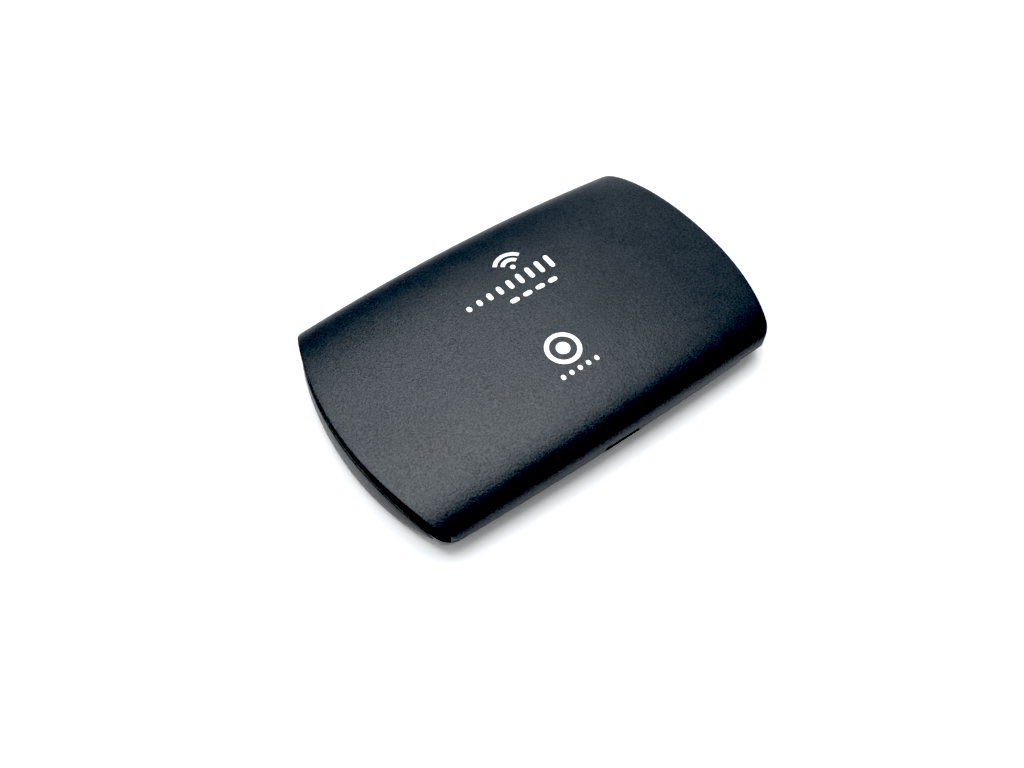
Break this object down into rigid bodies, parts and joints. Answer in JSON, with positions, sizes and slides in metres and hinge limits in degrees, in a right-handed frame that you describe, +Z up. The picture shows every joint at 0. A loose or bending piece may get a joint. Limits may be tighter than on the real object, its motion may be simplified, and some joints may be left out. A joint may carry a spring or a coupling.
{
  "type": "mobile hotspot",
  "caption": "Pocket mobile router with a crowned clip-on back cover, bowed ends with satin trims, a removable battery and side buttons.",
  "frame": {"origin": "centre of the footprint, on the surface that the front face rests on", "axes": "+X along the length towards the end with the buttons, +Y across the width away from the charging port, +Z up through the back cover"},
  "size_m": [0.095, 0.06, 0.014],
  "materials": {
    "cover_plastic": "fine spark-eroded grain, bluish black",
    "gloss_black": "high gloss",
    "trim_grey": "satin metallic grey lacquer on plastic",
    "chassis_plastic": "fine grain",
    "lens_black": "smoked acrylic with four icon windows",
    "adhesive": "double-sided foam tape",
    "light_guide": "clear acrylic",
    "led": "moulded resin",
    "board": "solder mask over glass fibre laminate",
    "tin_can": "tinned steel",
    "chip_resin": "moulded epoxy",
    "gap_pad": "soft silicone",
    "ceramic_part": "sintered",
    "antenna_ceramic": "sintered, silver ends",
    "steel": "stamped stainless",
    "port_plastic": "glass-filled",
    "gold": "gold flash over copper alloy",
    "connector_plastic": "glass-filled",
    "copper_foil": "copper foil under tint",
    "screw_steel": "black zinc",
    "label_paper": "printed film",
    "battery_metal": "drawn can",
    "battery_plastic": "moulded end cap",
    "battery_film": "printed shrink film",
    "foam": "open-cell foam",
    "button_grey": "satin lacquer",
    "plunger_plastic": "moulded"
  },
  "bodies": {
    "base": {"front_shell": "gloss_black", "front_lens": "lens_black", "lens_adhesive": "adhesive", "light_guide": "light_guide", "indicator_leds": "led", "main_board": "board", "baseband_can": "tin_can", "radio_can": "tin_can", "wifi_can": "tin_can", "baseband_chip": "chip_resin", "memory_chip": "chip_resin", "power_chip": "chip_resin", "radio_chip": "chip_resin", "wifi_chip": "chip_resin", "thermal_pad": "gap_pad", "board_capacitors": "ceramic_part", "crystal": "tin_can", "usb_shell": "steel", "usb_tongue": "port_plastic", "usb_contacts": "gold", "sim_base": "port_plastic", "sim_cage": "steel", "sim_contacts": "gold", "battery_connector": "connector_plastic", "battery_blades": "gold", "reset_switch": "steel", "power_switch": "steel", "wps_switch": "steel", "left_end_trim": "trim_grey", "right_end_trim": "trim_grey", "left_end_band": "gloss_black", "right_end_band": "gloss_black", "rear_chassis": "chassis_plastic", "left_antenna_carrier": "port_plastic", "right_antenna_carrier": "port_plastic", "main_antenna": "copper_foil", "diversity_antenna": "copper_foil", "wifi_antenna": "antenna_ceramic", "antenna_springs": "gold", "rf_test_sockets": "gold", "case_screws": "screw_steel", "board_screws": "screw_steel", "bay_label": "label_paper"},
    "cover": {"back_cover": "cover_plastic", "foam_pad": "foam"},
    "battery": {"battery_cell": "battery_metal", "battery_end_cap": "battery_plastic", "battery_wrap": "battery_film", "battery_pads": "gold"},
    "power_key": {"power_button": "button_grey", "power_plunger": "plunger_plastic"},
    "wps_key": {"wps_button": "button_grey", "wps_plunger": "plunger_plastic"},
    "reset_key": {"reset_plunger": "plunger_plastic"}
  },
  "joints": [
    {"name": "cover_lift", "type": "slide", "parent": "base", "child": "cover", "axis": [0, 0, 1], "range_m": [0, 0.04]},
    {"name": "battery_lift", "type": "slide", "parent": "base", "child": "battery", "axis": [0, 0, 1], "range_m": [0, 0.02]},
    {"name": "power_press", "type": "slide", "parent": "base", "child": "power_key", "axis": [-1, 0, 0], "range_m": [0, 0.0004], "stiffness_N_per_m": 6000, "springref_m": -0.0001},
    {"name": "wps_press", "type": "slide", "parent": "base", "child": "wps_key", "axis": [-1, 0, 0], "range_m": [0, 0.0004], "stiffness_N_per_m": 6000, "springref_m": -0.0001},
    {"name": "reset_press", "type": "slide", "parent": "base", "child": "reset_key", "axis": [0, 0, -1], "range_m": [0, 0.00025], "stiffness_N_per_m": 6000, "springref_m": -0.0001}
  ],
  "couplings": [
    {"joint": "battery_lift", "follows": "cover_lift", "ratio": 0.5}
  ]
}
